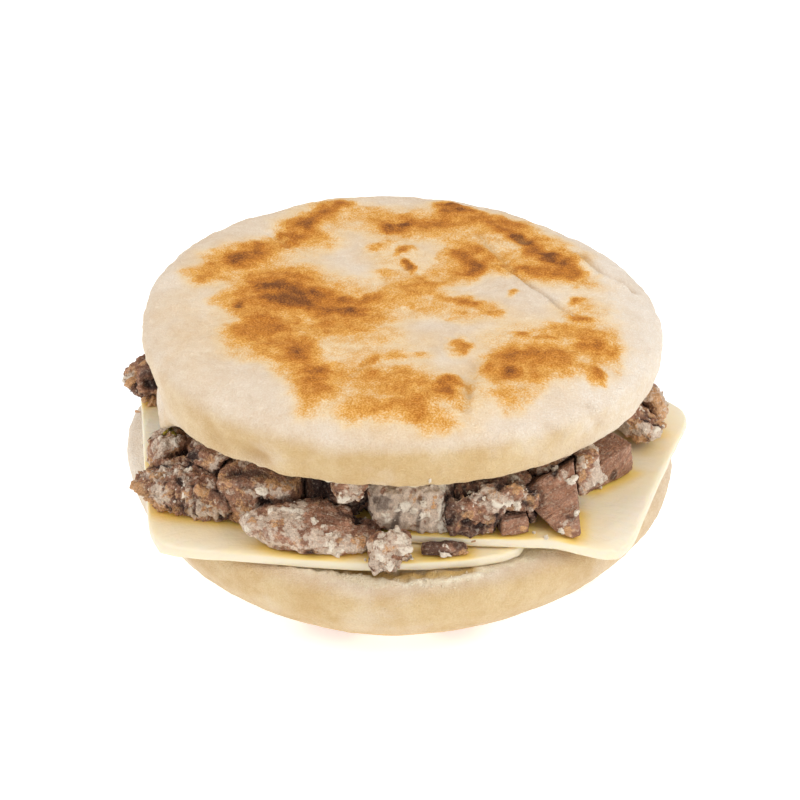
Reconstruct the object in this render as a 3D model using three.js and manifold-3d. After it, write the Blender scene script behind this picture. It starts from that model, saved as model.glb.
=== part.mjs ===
// A griddled flatbread split in two and filled with two cheese slices and chopped meat.
// Lengths are millimetres and +Z is up. The origin is the middle of the flat underside,
// and the side where the filling spills out faces -Y.

import * as THREE from "three";
import { ImprovedNoise } from "three/addons/math/ImprovedNoise.js";
import { mergeVertices } from "three/addons/utils/BufferGeometryUtils.js";
import Module from "manifold-3d";

// Driving dimensions
const GAP = 0.3; // air between pieces that lie on each other

const LOWER_RADIUS = 64; // lower half, at its rim
const LOWER_BASE_RADIUS = 40; // the flat that it rests on
const LOWER_THICKNESS = 21;
const LOWER_RIM_WIDTH = 5; // rounding of the cut face at the rim
const LOWER_RIM_DROP = 3.2;

const UPPER_RADIUS = 59.5; // upper half, at its belly
const UPPER_CUT_RADIUS = 56;
const UPPER_TOP_RADIUS = 48.5; // where the flat griddled top starts to round off
const UPPER_BELLY = 10; // height of the belly above the cut
const UPPER_THICKNESS = 16.5;
const UPPER_CUT_HEIGHT = 43;
const UPPER_TILT = 1.1; // degrees, the front sits lower
const UPPER_LEAN = [-3, 2]; // the flat top is set this far off the belly's middle

// The upper half's cut edge hangs down and tucks in at the left, between two chunks. Angles are in
// degrees: the middle of the flap, and the half widths of its level part and of the whole.
const FLAP = { drop: 9, tuck: 3.5, angle: -174, level: 8, width: 27 };
const FLAP_START = 0.78; // share of the cut face's radius that stays level

// The lower half's rim is torn down a little at the front
const TEAR = { drop: 1.6, angle: -96, level: 0, width: 20 };

const CHEESE_THICKNESS = 2.6;
const CHEESE_WIDTH = 85;
const CHEESE_DROOP = 0.026; // sag per square millimetre of overhang
const CHEESE_GRIP = 3; // the slice starts to sag this far inside the rim

const MEAT_RADIUS = 41; // heap in the middle, inside the ring of large chunks
const MEAT_LUMP = 3.5;
const LUMP_LENGTH = 8;

// Fineness of the solids
const BREAD_SIDES = 64;
const TOP_RINGS = 6;
const ARC_STEPS = 5;
const CHEESE_CELLS = 10;
const CHUNK_CELLS = [4, 3, 3];
const HEAP_SIDES = 32;
const HEAP_RINGS = 3;
const WELD = 1e-4;
const SLIVER = 0.06; // finer steps that a cut leaves are smoothed away

// Unevenness of the round outlines: so many waves, so high as a share of the radius,
// with a crest at this angle in degrees
const LOWER_WAVES = [
  { count: 1, height: 0.027, crest: 130 },
  { count: 2, height: 0.027, crest: 138 },
  { count: 3, height: 0.03, crest: 18 },
];
const UPPER_WAVES = [
  { count: 3, height: 0.015, crest: 103 },
  { count: 5, height: 0.004, crest: 80 },
];
const TOP_RELIEF = 0.9; // dents and blisters of the griddled face
const RELIEF_LENGTH = 17;

// Slices of cheese, by their corners: front left, front right, back right, back left.
// The front and back bulge by a share of the slice's width.
const CHEESE_SLICES = {
  cheese_slice_lower: {
    corners: [[-55.5, -45.5], [29, -52], [26, 37], [-63.5, 31]], bow: 0.19, layer: 0,
  },
  cheese_slice_upper: {
    corners: [[-22, -43], [50, -50], [70.5, 16.5], [-15, 38]], bow: 0.13, layer: 1,
  },
};
const CHEESE_CORNER = 0.2; // rounded share of each half side
const CHEESE_STEP_START = 33; // the upper slice comes down past the lower slice's right side
const CHEESE_STEP_END = 47;

// Meat pieces that show at the front and sides: middle, size, turn about X, Y and Z in degrees,
// and as shares the depth of the crags, how far the block is rounded off, and how far its left and
// right ends narrow. A wedge narrows evenly to its right end, by another share.
const SHOWN_MEAT = {
  meat_chunk_left_back: {
    at: [-57.5, 21, 28.6], size: [14, 11, 8.6], turn: [0, -8, 20],
    crag: 0.3, round: 0.6, taper: [0.2, 0],
  },
  meat_wedge_right: {
    at: [35, -42.5, 30.2], size: [15, 11, 15.5], turn: [-14, 62, -8],
    crag: 0.06, round: 0.1, taper: [0, 0], wedge: 0.8,
  },
  meat_chunk_left_front: {
    at: [-47, -31.7, 28.4], size: [25, 13, 10.5], turn: [6, -5, -24],
    crag: 0.28, round: 0.5, taper: [0.7, 0.1],
  },
  meat_chunk_left: {
    at: [-51.3, -15.5, 28.2], size: [12, 12, 10], turn: [-6, 0, 12],
    crag: 0.3, round: 0.5, taper: [0.3, 0],
  },
  meat_block_left: {
    at: [-30.5, -37.5, 31], size: [18, 12, 13], turn: [10, -6, -16],
    crag: 0.12, round: 0.24, taper: [0, 0.3],
  },
  meat_slab_front: {
    at: [-19, -48.3, 27.2], size: [31, 12, 8], turn: [22, 5, -6],
    crag: 0.16, round: 0.35, taper: [0.65, 0.5],
  },
  meat_chunk_inner: {
    at: [-12, -38, 31], size: [18, 10, 12], turn: [0, 0, 14],
    crag: 0.18, round: 0.4, taper: [0, 0],
  },
  meat_nub_front: {
    at: [-10.8, -47, 38.2], size: [7, 8, 4.8], turn: [0, 0, 10],
    crag: 0.2, round: 0.4, taper: [0, 0.2],
  },
  meat_chunk_gristle: {
    at: [2.5, -44.6, 31.4], size: [16, 11, 17.5], turn: [12, 6, 6],
    crag: 0.24, round: 0.5, taper: [0.2, 0],
  },
  meat_block_front: {
    at: [24.3, -47, 29.2], size: [6.6, 7.5, 5.6], turn: [6, 0, 12],
    crag: 0.08, round: 0.16, taper: [0, 0],
  },
  meat_chunk_front: {
    at: [19.6, -44.5, 32.3], size: [21, 13, 12], turn: [4, 0, 6],
    crag: 0.22, round: 0.4, taper: [0, 0.3],
  },
  meat_crumbly_right: {
    at: [37, -36.5, 35], size: [15, 10, 9], turn: [0, 0, 28],
    crag: 0.3, round: 0.6, taper: [0, 0],
  },
  meat_block_right: {
    at: [44.6, -20, 27.9], size: [14.5, 10, 8], turn: [8, -4, 45],
    crag: 0.05, round: 0.14, taper: [0, 0],
  },
  meat_slab_right_back: {
    at: [54.4, -3.8, 30.2], size: [12.5, 7.5, 5], turn: [16, 22, -32],
    crag: 0.18, round: 0.3, taper: [0, 0.3],
  },
  meat_chunk_right_back: {
    at: [57, 4, 29.6], size: [9, 11, 10], turn: [0, 6, 10],
    crag: 0.24, round: 0.5, taper: [0, 0.2],
  },
  meat_chunk_left_inner: {
    at: [-41.5, -30.5, 35.2], size: [11, 9, 7], turn: [0, 0, -24],
    crag: 0.15, round: 0.4, taper: [0, 0],
  },
  meat_shred: {
    at: [9.7, -53, 25.1], size: [9.6, 3.6, 2.8], turn: [0, 4, 6],
    crag: 0.2, round: 0.35, taper: [0.2, 0.3],
  },
  fat_scrap: {
    at: [-2, -56, 26.3], size: [8.5, 7, 7.5], turn: [10, 0, 8],
    crag: 0.4, round: 0.6, taper: [0, 0],
  },
};

// The back is finished with chunks like those in front, round the heap: angle in degrees and distance
// from the middle, size along the ring, outwards and up, lean about X, Y and Z, and form as above
const BACK_MEAT = [
  {
    angle: 30, radius: 50, size: [16, 13, 14], lean: [6, -8, 12],
    crag: 0.12, round: 0.2, taper: [0.1, 0.2],
  },
  {
    angle: 50, radius: 47, size: [17, 14, 18], lean: [-8, 10, -14],
    crag: 0.26, round: 0.45, taper: [0.3, 0.1],
  },
  {
    angle: 73, radius: 53, size: [25, 11, 8], lean: [14, 4, 8],
    crag: 0.18, round: 0.35, taper: [0.6, 0.4],
  },
  {
    angle: 84, radius: 45, size: [21, 12, 19], lean: [0, -6, 4],
    crag: 0.2, round: 0.3, taper: [0, 0.2],
  },
  {
    angle: 104, radius: 49, size: [19, 13, 15], lean: [-10, 60, 6],
    crag: 0.1, round: 0.18, taper: [0.1, 0.4],
  },
  {
    angle: 123, radius: 49, size: [23, 14, 16], lean: [8, -6, -10],
    crag: 0.28, round: 0.5, taper: [0.6, 0.1],
  },
  {
    angle: 146, radius: 50, size: [14, 12, 16], lean: [-6, 8, 16],
    crag: 0.24, round: 0.4, taper: [0, 0.2],
  },
];

const CHUNK_BALL = 0.62; // radius of the ball that a unit block is rounded towards
const CRAG_PITCH = 4.2; // crags across a unit block
const SEED_STEP = 7.3;

const BREAD_COLOUR = { color: 0xe6cda6, roughness: 0.85, metalness: 0 };
const CHEESE_COLOUR = { color: 0xf0dfb4, roughness: 0.45, metalness: 0 };
const MEAT_COLOUR = { color: 0x8f6a58, roughness: 0.7, metalness: 0 };
const FAT_COLOUR = { color: 0xd2b6a4, roughness: 0.6, metalness: 0 };

const { degToRad, radToDeg, lerp, smoothstep } = THREE.MathUtils;
const wasm = await Module();
wasm.setup();
const noise = new ImprovedNoise();

// Small helpers
function outline(angle, waves) {
  return waves.reduce((radius, { count, height, crest }) => {
    return radius + height * Math.cos(count * (angle - degToRad(crest)));
  }, 1);
}

// A smooth hump about an angle in degrees, 1 in its level middle and 0 past its width on either side.
function hump({ x, y }, { angle, level, width }) {
  const middle = new THREE.Vector2(1, 0).rotateAround(new THREE.Vector2(), degToRad(angle));
  const away = radToDeg(middle.angleTo(new THREE.Vector2(x, y)));
  const share = Math.max(away - level, 0) / (width - level);
  return Math.cos((Math.min(share, 1) * Math.PI) / 2) ** 2;
}

// Moves every vertex of a geometry by a function that changes the vector it is given.
function reshape(geometry, change) {
  const position = geometry.attributes.position;
  const point = new THREE.Vector3();
  for (let i = 0; i < position.count; i += 1) {
    point.fromBufferAttribute(position, i);
    change(point);
    position.setXYZ(i, point.x, point.y, point.z);
  }
  return geometry;
}

// Joins the vertices that meet, so that the surface is closed.
function weld(geometry) {
  geometry.deleteAttribute("normal");
  geometry.deleteAttribute("uv");
  return mergeVertices(geometry, WELD);
}

function turnProfile(profile, sides) {
  return new THREE.LatheGeometry(profile, sides).rotateX(Math.PI / 2);
}

function quarter(middle, reach, fromAngle, toAngle) {
  const curve = new THREE.EllipseCurve(middle[0], middle[1], reach[0], reach[1], fromAngle, toAngle);
  return curve.getPoints(ARC_STEPS);
}

function makeMesh(name, geometry, colour) {
  const mesh = new THREE.Mesh(geometry, new THREE.MeshStandardMaterial(colour));
  mesh.name = name;
  return mesh;
}

// Bread
function tearDrop(point, rimInner, rimHeight) {
  const onRim = Math.hypot(point.x, point.y) < rimInner / 2 ? 0 : 1;
  return TEAR.drop * hump(point, TEAR) * onRim * smoothstep(point.z, 0, rimHeight);
}

function lowerHalf() {
  const rimHeight = LOWER_THICKNESS - LOWER_RIM_DROP;
  const rimInner = LOWER_RADIUS - LOWER_RIM_WIDTH;
  const side = [LOWER_RADIUS - LOWER_BASE_RADIUS, rimHeight];
  const profile = [
    new THREE.Vector2(0, 0),
    ...quarter([LOWER_BASE_RADIUS, rimHeight], side, -Math.PI / 2, 0),
    ...quarter([rimInner, rimHeight], [LOWER_RIM_WIDTH, LOWER_RIM_DROP], 0, Math.PI / 2).slice(1),
    new THREE.Vector2(0, LOWER_THICKNESS),
  ];
  const geometry = reshape(turnProfile(profile, BREAD_SIDES), (point) => {
    const spread = outline(Math.atan2(point.y, point.x), LOWER_WAVES);
    point.z -= tearDrop(point, rimInner, rimHeight);
    point.x *= spread;
    point.y *= spread;
  });
  return makeMesh("bread_lower", weld(geometry), BREAD_COLOUR);
}

// How far a point of the upper half hangs down in the flap, most at the cut edge, and how far it
// is tucked in, most halfway up to the belly.
function flapShift(point) {
  const out = Math.hypot(point.x, point.y) / UPPER_CUT_RADIUS;
  const share = hump(point, FLAP) * smoothstep(out, FLAP_START, 1);
  const low = 1 - smoothstep(point.z, 0, UPPER_BELLY);
  return { drop: FLAP.drop * share * low, tuck: FLAP.tuck * share * 4 * low * (1 - low) };
}

function upperHalf() {
  const crown = [UPPER_RADIUS - UPPER_TOP_RADIUS, UPPER_THICKNESS - UPPER_BELLY];
  const lip = [UPPER_RADIUS - UPPER_CUT_RADIUS, UPPER_BELLY];
  const top = Array.from({ length: TOP_RINGS }, (_, ring) => {
    return new THREE.Vector2(UPPER_TOP_RADIUS * (1 - (ring + 1) / TOP_RINGS), UPPER_THICKNESS);
  });
  const profile = [
    new THREE.Vector2(0, 0),
    new THREE.Vector2(UPPER_CUT_RADIUS * FLAP_START, 0),
    ...quarter([UPPER_CUT_RADIUS, UPPER_BELLY], lip, -Math.PI / 2, 0),
    ...quarter([UPPER_TOP_RADIUS, UPPER_BELLY], crown, 0, Math.PI / 2).slice(1),
    ...top,
  ];
  const geometry = reshape(turnProfile(profile, BREAD_SIDES), (point) => {
    const { drop, tuck } = flapShift(point);
    const spread = outline(Math.atan2(point.y, point.x), UPPER_WAVES) - tuck / UPPER_CUT_RADIUS;
    const dent = noise.noise(point.x / RELIEF_LENGTH, point.y / RELIEF_LENGTH, 0);
    const crown = smoothstep(point.z, UPPER_BELLY, UPPER_THICKNESS);
    point.z += TOP_RELIEF * dent * crown - drop;
    point.x = point.x * spread + UPPER_LEAN[0] * crown;
    point.y = point.y * spread + UPPER_LEAN[1] * crown;
  });
  const mesh = makeMesh("bread_upper", weld(geometry), BREAD_COLOUR);
  mesh.position.z = UPPER_CUT_HEIGHT;
  mesh.rotation.x = degToRad(UPPER_TILT);
  return mesh;
}

// Cheese
function roundedSquare(u, v) {
  const straight = 1 - CHEESE_CORNER;
  const pastU = Math.max(Math.abs(u) - straight, 0);
  const pastV = Math.max(Math.abs(v) - straight, 0);
  const reach = Math.hypot(pastU, pastV);
  const shrink = reach > 0 ? Math.max(pastU, pastV) / reach : 1;
  return [
    Math.sign(u) * (Math.min(Math.abs(u), straight) + pastU * shrink),
    Math.sign(v) * (Math.min(Math.abs(v), straight) + pastV * shrink),
  ];
}

// Packs the cells of a slice closer near its edges, where it bends.
function towardsEdge(share) {
  return Math.sin((share * Math.PI) / 2);
}

function slicePoint([frontLeft, frontRight, backRight, backLeft], bow, u, v) {
  const across = (1 + u) / 2;
  const back = (1 + v * (1 + bow * (1 - u * u))) / 2;
  return [0, 1].map((axis) => {
    const front = lerp(frontLeft[axis], frontRight[axis], across);
    const rear = lerp(backLeft[axis], backRight[axis], across);
    return lerp(front, rear, back);
  });
}

// Height of a slice's underside: flat on the bread, one layer up on the slice below it,
// and hanging down past the rim.
function sliceHeight(x, y, layer) {
  const rim = LOWER_RADIUS * outline(Math.atan2(y, x), LOWER_WAVES);
  const overhang = Math.max(Math.hypot(x, y) - rim + CHEESE_GRIP, 0);
  const onSlice = 1 - smoothstep(x, CHEESE_STEP_START, CHEESE_STEP_END);
  const lift = layer * onSlice * (CHEESE_THICKNESS + GAP);
  return LOWER_THICKNESS + GAP + lift - CHEESE_DROOP * overhang ** 2;
}

// A slice, or with a margin the space that it takes up with the air round it.
function sliceGeometry({ corners, bow, layer }, margin) {
  const thickness = CHEESE_THICKNESS + 2 * margin;
  const stretch = 1 + (2 * margin) / CHEESE_WIDTH;
  const sheet = new THREE.BoxGeometry(2, 2, thickness, CHEESE_CELLS, CHEESE_CELLS, 1);
  reshape(sheet, (point) => {
    const [u, v] = roundedSquare(towardsEdge(point.x), towardsEdge(point.y));
    const [x, y] = slicePoint(corners, bow, u * stretch, v * stretch);
    point.set(x, y, sliceHeight(x, y, layer) + CHEESE_THICKNESS / 2 + point.z);
  });
  return weld(sheet);
}

// Meat
function chunkGeometry({ size, crag, round, taper, wedge = 0 }, seed) {
  const block = new THREE.BoxGeometry(1, 1, 1, ...CHUNK_CELLS);
  const ball = new THREE.Vector3();
  const offset = seed * SEED_STEP;
  reshape(block, (point) => {
    ball.copy(point).setLength(CHUNK_BALL);
    point.lerp(ball, round);
    const width = 1 - taper[point.x < 0 ? 0 : 1] * (2 * point.x) ** 2;
    const evenly = 1 - wedge * (point.x + 1 / 2);
    const { x, y, z } = point.multiply(new THREE.Vector3(1, width, width * evenly));
    const bump = noise.noise(x * CRAG_PITCH + offset, y * CRAG_PITCH - offset, z * CRAG_PITCH);
    point.multiplyScalar(1 + crag * bump);
  });
  return weld(block.scale(...size));
}

function meatPiece(name, piece, seed) {
  const colour = name.startsWith("fat") ? FAT_COLOUR : MEAT_COLOUR;
  const mesh = makeMesh(name, chunkGeometry(piece, seed), colour);
  mesh.position.set(...piece.at);
  mesh.rotation.set(...piece.turn.map(degToRad));
  return mesh;
}

// The heap in the middle, from the lower bread up to the upper half, lumpy at its side.
function meatHeap() {
  const height = UPPER_CUT_HEIGHT - LOWER_THICKNESS;
  const wall = Array.from({ length: HEAP_RINGS + 1 }, (_, ring) => {
    return new THREE.Vector2(MEAT_RADIUS, height * (ring / HEAP_RINGS - 1 / 2));
  });
  const profile = [new THREE.Vector2(0, -height / 2), ...wall, new THREE.Vector2(0, height / 2)];
  const geometry = reshape(turnProfile(profile, HEAP_SIDES), (point) => {
    const { x, y, z } = point;
    const lump = noise.noise(x / LUMP_LENGTH, y / LUMP_LENGTH, z / LUMP_LENGTH);
    const spread = 1 + (MEAT_LUMP / MEAT_RADIUS) * lump;
    point.x *= spread;
    point.y *= spread;
  });
  const mesh = makeMesh("meat_heap", weld(geometry), MEAT_COLOUR);
  mesh.position.z = LOWER_THICKNESS + GAP + height / 2;
  return mesh;
}

function backChunks() {
  return BACK_MEAT.map(({ angle, radius, lean, ...form }) => {
    const spot = new THREE.Vector2(radius, 0).rotateAround(new THREE.Vector2(), degToRad(angle));
    const height = LOWER_THICKNESS + form.size[2] / 2;
    return { ...form, at: [spot.x, spot.y, height], turn: [lean[0], lean[1], angle + 90 + lean[2]] };
  });
}

// Cutting pieces clear of their neighbours
function toSolid(geometry) {
  return new wasm.Manifold(
    new wasm.Mesh({
      numProp: 3,
      vertProperties: geometry.attributes.position.array,
      triVerts: Uint32Array.from(geometry.index.array),
    }),
  );
}

function placed(mesh) {
  mesh.updateMatrix();
  return mesh.geometry.clone().applyMatrix4(mesh.matrix);
}

// The space that a piece takes up with the air round it.
function grownSolid(mesh) {
  const grown = mesh.geometry.clone();
  grown.computeBoundingBox();
  const middle = grown.boundingBox.getCenter(new THREE.Vector3());
  const size = grown.boundingBox.getSize(new THREE.Vector3());
  const growth = size.toArray().map((side) => (side + 2 * GAP) / side);
  mesh.updateMatrix();
  grown.translate(...middle.clone().negate()).scale(...growth).translate(...middle);
  const joined = toSolid(grown.applyMatrix4(mesh.matrix)).add(toSolid(placed(mesh)));
  return joined.asOriginal().simplify(SLIVER);
}

// Cuts a mesh and keeps its largest piece, in the mesh's own frame.
function carve(mesh, cutters) {
  const rest = cutters.reduce((solid, cutter) => solid.subtract(cutter), toSolid(placed(mesh)));
  const largest = rest.decompose().reduce((a, b) => (a.volume() > b.volume() ? a : b));
  const { vertProperties, triVerts } = largest.asOriginal().simplify(SLIVER).getMesh();
  const geometry = new THREE.BufferGeometry();
  geometry.setAttribute("position", new THREE.BufferAttribute(vertProperties, 3));
  geometry.setIndex(new THREE.BufferAttribute(triVerts, 1));
  mesh.geometry = geometry.applyMatrix4(mesh.matrix.clone().invert());
}

// The whole sandwich
const lower = lowerHalf();
const upper = upperHalf();
const cheese = Object.entries(CHEESE_SLICES).map(([name, slice]) => {
  return makeMesh(name, sliceGeometry(slice, 0), CHEESE_COLOUR);
});
const heap = meatHeap();
const chunks = [
  ...Object.entries(SHOWN_MEAT).map(([name, piece], i) => meatPiece(name, piece, i)),
  ...backChunks().map((piece, i) => meatPiece(`meat_chunk_back_${i + 1}`, piece, -i - 1)),
];

// The upper half is taken twice, the second time lower, to clear what is under its hanging flap.
const breadAndCheese = [
  grownSolid(upper),
  grownSolid(upper).translate(0, 0, -GAP),
  grownSolid(lower),
  ...Object.values(CHEESE_SLICES).map((slice) => toSolid(sliceGeometry(slice, GAP))),
];
carve(heap, breadAndCheese);
const done = [grownSolid(heap)];
chunks.forEach((chunk) => {
  carve(chunk, [...breadAndCheese, ...done]);
  done.push(grownSolid(chunk));
});

const sandwich = new THREE.Group();
[lower, ...cheese, heap, ...chunks, upper].forEach((mesh) => {
  mesh.geometry.computeVertexNormals();
  sandwich.add(mesh);
});

export default sandwich;
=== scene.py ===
"""Looks of a griddled flatbread that is split in two and filled with cheese slices and chopped meat."""
import math

import bmesh
import bpy
import numpy as np
from mathutils import Color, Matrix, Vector, noise
from mathutils.bvhtree import BVHTree


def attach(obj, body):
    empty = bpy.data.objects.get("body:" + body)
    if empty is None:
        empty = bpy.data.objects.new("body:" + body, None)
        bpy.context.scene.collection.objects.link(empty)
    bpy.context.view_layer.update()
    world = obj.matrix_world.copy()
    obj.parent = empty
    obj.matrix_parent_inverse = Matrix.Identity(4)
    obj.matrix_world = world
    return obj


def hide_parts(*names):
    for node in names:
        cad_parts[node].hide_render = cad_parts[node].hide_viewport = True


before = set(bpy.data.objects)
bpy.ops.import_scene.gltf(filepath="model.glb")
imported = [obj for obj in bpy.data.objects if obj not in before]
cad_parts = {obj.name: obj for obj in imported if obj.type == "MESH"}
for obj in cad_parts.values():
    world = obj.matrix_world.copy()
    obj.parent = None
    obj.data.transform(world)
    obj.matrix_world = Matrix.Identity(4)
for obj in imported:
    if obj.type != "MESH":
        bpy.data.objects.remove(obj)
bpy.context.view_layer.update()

# Lengths are millimetres in this script and become metres where a mesh is made
MM = 0.001
BODY = "root"
MEAT_NODES = [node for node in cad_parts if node.startswith(("meat", "fat"))]
CHEESE_SLICES = {"cheese_slice_lower": "lower_cheese", "cheese_slice_upper": "upper_cheese"}

# View and light
CAMERA_TARGET = (0, 0, 33.3)
CAMERA_ELEVATION = 28.4
CAMERA_DISTANCE = 700
CAMERA_LENS = 135.45
SENSOR = 36
IMAGE_SIDE = 800
FLOOR_SIZE = 9000
FLOOR_COLOUR = (0.72, 0.74, 0.735, 1)
FLOOR_GLOW = 0.62
FLOOR_GLOW_COLOUR = (0.97, 0.99, 0.985, 1)
SKY_STRENGTH = 0.42
# Soft boxes: azimuth and elevation in degrees as the camera's, distance, side and watts
SOFT_BOXES = {
    "light_right": (65, 42, 900, 700, 4.4),
    "light_left": (-80, 38, 1100, 850, 5.9),
    "light_back": (170, 55, 900, 800, 1.8),
    "light_front": (8, 14, 1000, 700, 1.8),
}

# Fineness of the skins
UPPER_VOXEL = 0.57
UPPER_SMOOTHING = 26
LOWER_VOXEL = 0.7
LOWER_SMOOTHING = 16
MEAT_VOXEL = 0.32
BACK_VOXEL = 0.45
HEAP_VOXEL = 0.6
MEAT_SMOOTHING = 3
SMOOTH_FACTOR = 0.5
CHEESE_LEVELS = 3
WELD = 0.1

# Colours, as 8-bit display values
FULL = 255
CREAM_CRUST = (223, 196, 151)
DEEP_CREAM = (215, 183, 131)
# Flour, whose white also serves as painted light on the right of the upper half and the left of the lower
# half
FLOUR = (252, 246, 238)
# Painted shade in the creases and dents of the upper half
GROOVE = (192, 154, 100)
MOTTLE = (226, 204, 176)
CRUMB = (250, 240, 216)
# Oil stain of the lower half, darkened as the cheese's painted shadow
OIL = (204, 164, 72)
TOAST_RAMP = [
    (0.00, (238, 221, 200)),
    (0.18, (246, 218, 174)),
    (0.40, (238, 178, 86)),
    (0.65, (208, 133, 43)),
    (0.88, (168, 102, 34)),
    (1.00, (128, 76, 30)),
]
CHEESE_PALE = (237, 227, 207)
CHEESE_YELLOW = (238, 225, 194)
# Yellow of oil from the meat, which also stands for the painted contact shade next to it
CHEESE_OIL = (240, 196, 62)
# Painted shade of the cheese's steep cut edge
CHEESE_EDGE = (230, 217, 192)
MEAT_MAUVE = (198, 143, 112)
MEAT_BROWN = (167, 114, 83)
MEAT_DARK = (62, 40, 33)
MEAT_TAN = (222, 167, 114)
FAT_GREY = (232, 207, 184)
FAT_WHITE = (245, 230, 210)
HERB_DARK = (92, 84, 40)
HERB_BRIGHT = (196, 170, 50)

# Grains of the finishes: their size, and the levels of the noise that count as bare and as full
GRAINS = {
    "crust clouds": (9, 0.35, 0.65),
    "crust mottle": (2.2, 0.35, 0.65),
    "crust grain": (0.38, 0.3, 0.7),
    "cheese clouds": (14, 0.3, 0.7),
    "cheese grain": (1.2, 0.3, 0.7),
    "meat clouds": (3, 0.35, 0.65),
    "meat grain": (0.4, 0.3, 0.7),
    "meat crumbs": (1.1, 0.35, 0.65),
    "meat grits": (0.7, 0.35, 0.65),
    "herb grain": (0.8, 0.4, 0.6),
}
GRAIN_DETAIL = 3
LEAST_SPECK = 0.4
RAG_DEPTH = 0.7
RAG_EDGE = (0.15, 0.9)

# Finish of the crust: shares of its shades, the toast's speckles and where they start, and the flour.
# The flour's dust, which also spreads the painted light, and every roughness is given as its least and what
# a full grain adds.
CRUST_CLOUDS = 0.5
COARSE_SHADE = 0.16
FINE_SHADE = 0.3
SPECKLE_MOTTLE = 0.3
SPECKLE_LEVEL = 0.65
SPECKLE_DEPTH = 0.24
SPECKLE_EDGE = (0.02, 0.4)
TOASTED_EDGE = (0.05, 0.3)
DUST = (0.35, 0.4)
CRUST_ROUGHNESS = (0.72, 0.2)
CRUST_BUMP = 0.16

# Finish of the cheese: shares of its clouds and streaks, and the streaks' size each way
CHEESE_CLOUDS = 0.4
CHEESE_STREAKS = 0.35
STREAK_EDGE = (0.35, 0.65)
STREAK_SIZE = (25, 1.8, 1.8)
CHEESE_GLOW_DEPTH = 3
CHEESE_ROUGHNESS = (0.38, 0.15)
CHEESE_BUMP = 0.05

# Finish of the meat and herbs: shares of the strands, the grain and the specks of fat
MEAT_SPECKS = {"Pitch": 0.9, "Share": 0.05, "Reach": 0.35}
SPECK_WHITE = 0.5
STRAND_EDGE = (0.38, 0.62)
STRAND_SHADE = 0.3
GRAIN_SHADE = 0.28
MEAT_ROUGHNESS = (0.4, 0.25)
MEAT_BUMP = 0.22
HERB_ROUGHNESS = 0.6
HERB_BUMP = 0.1

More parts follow.
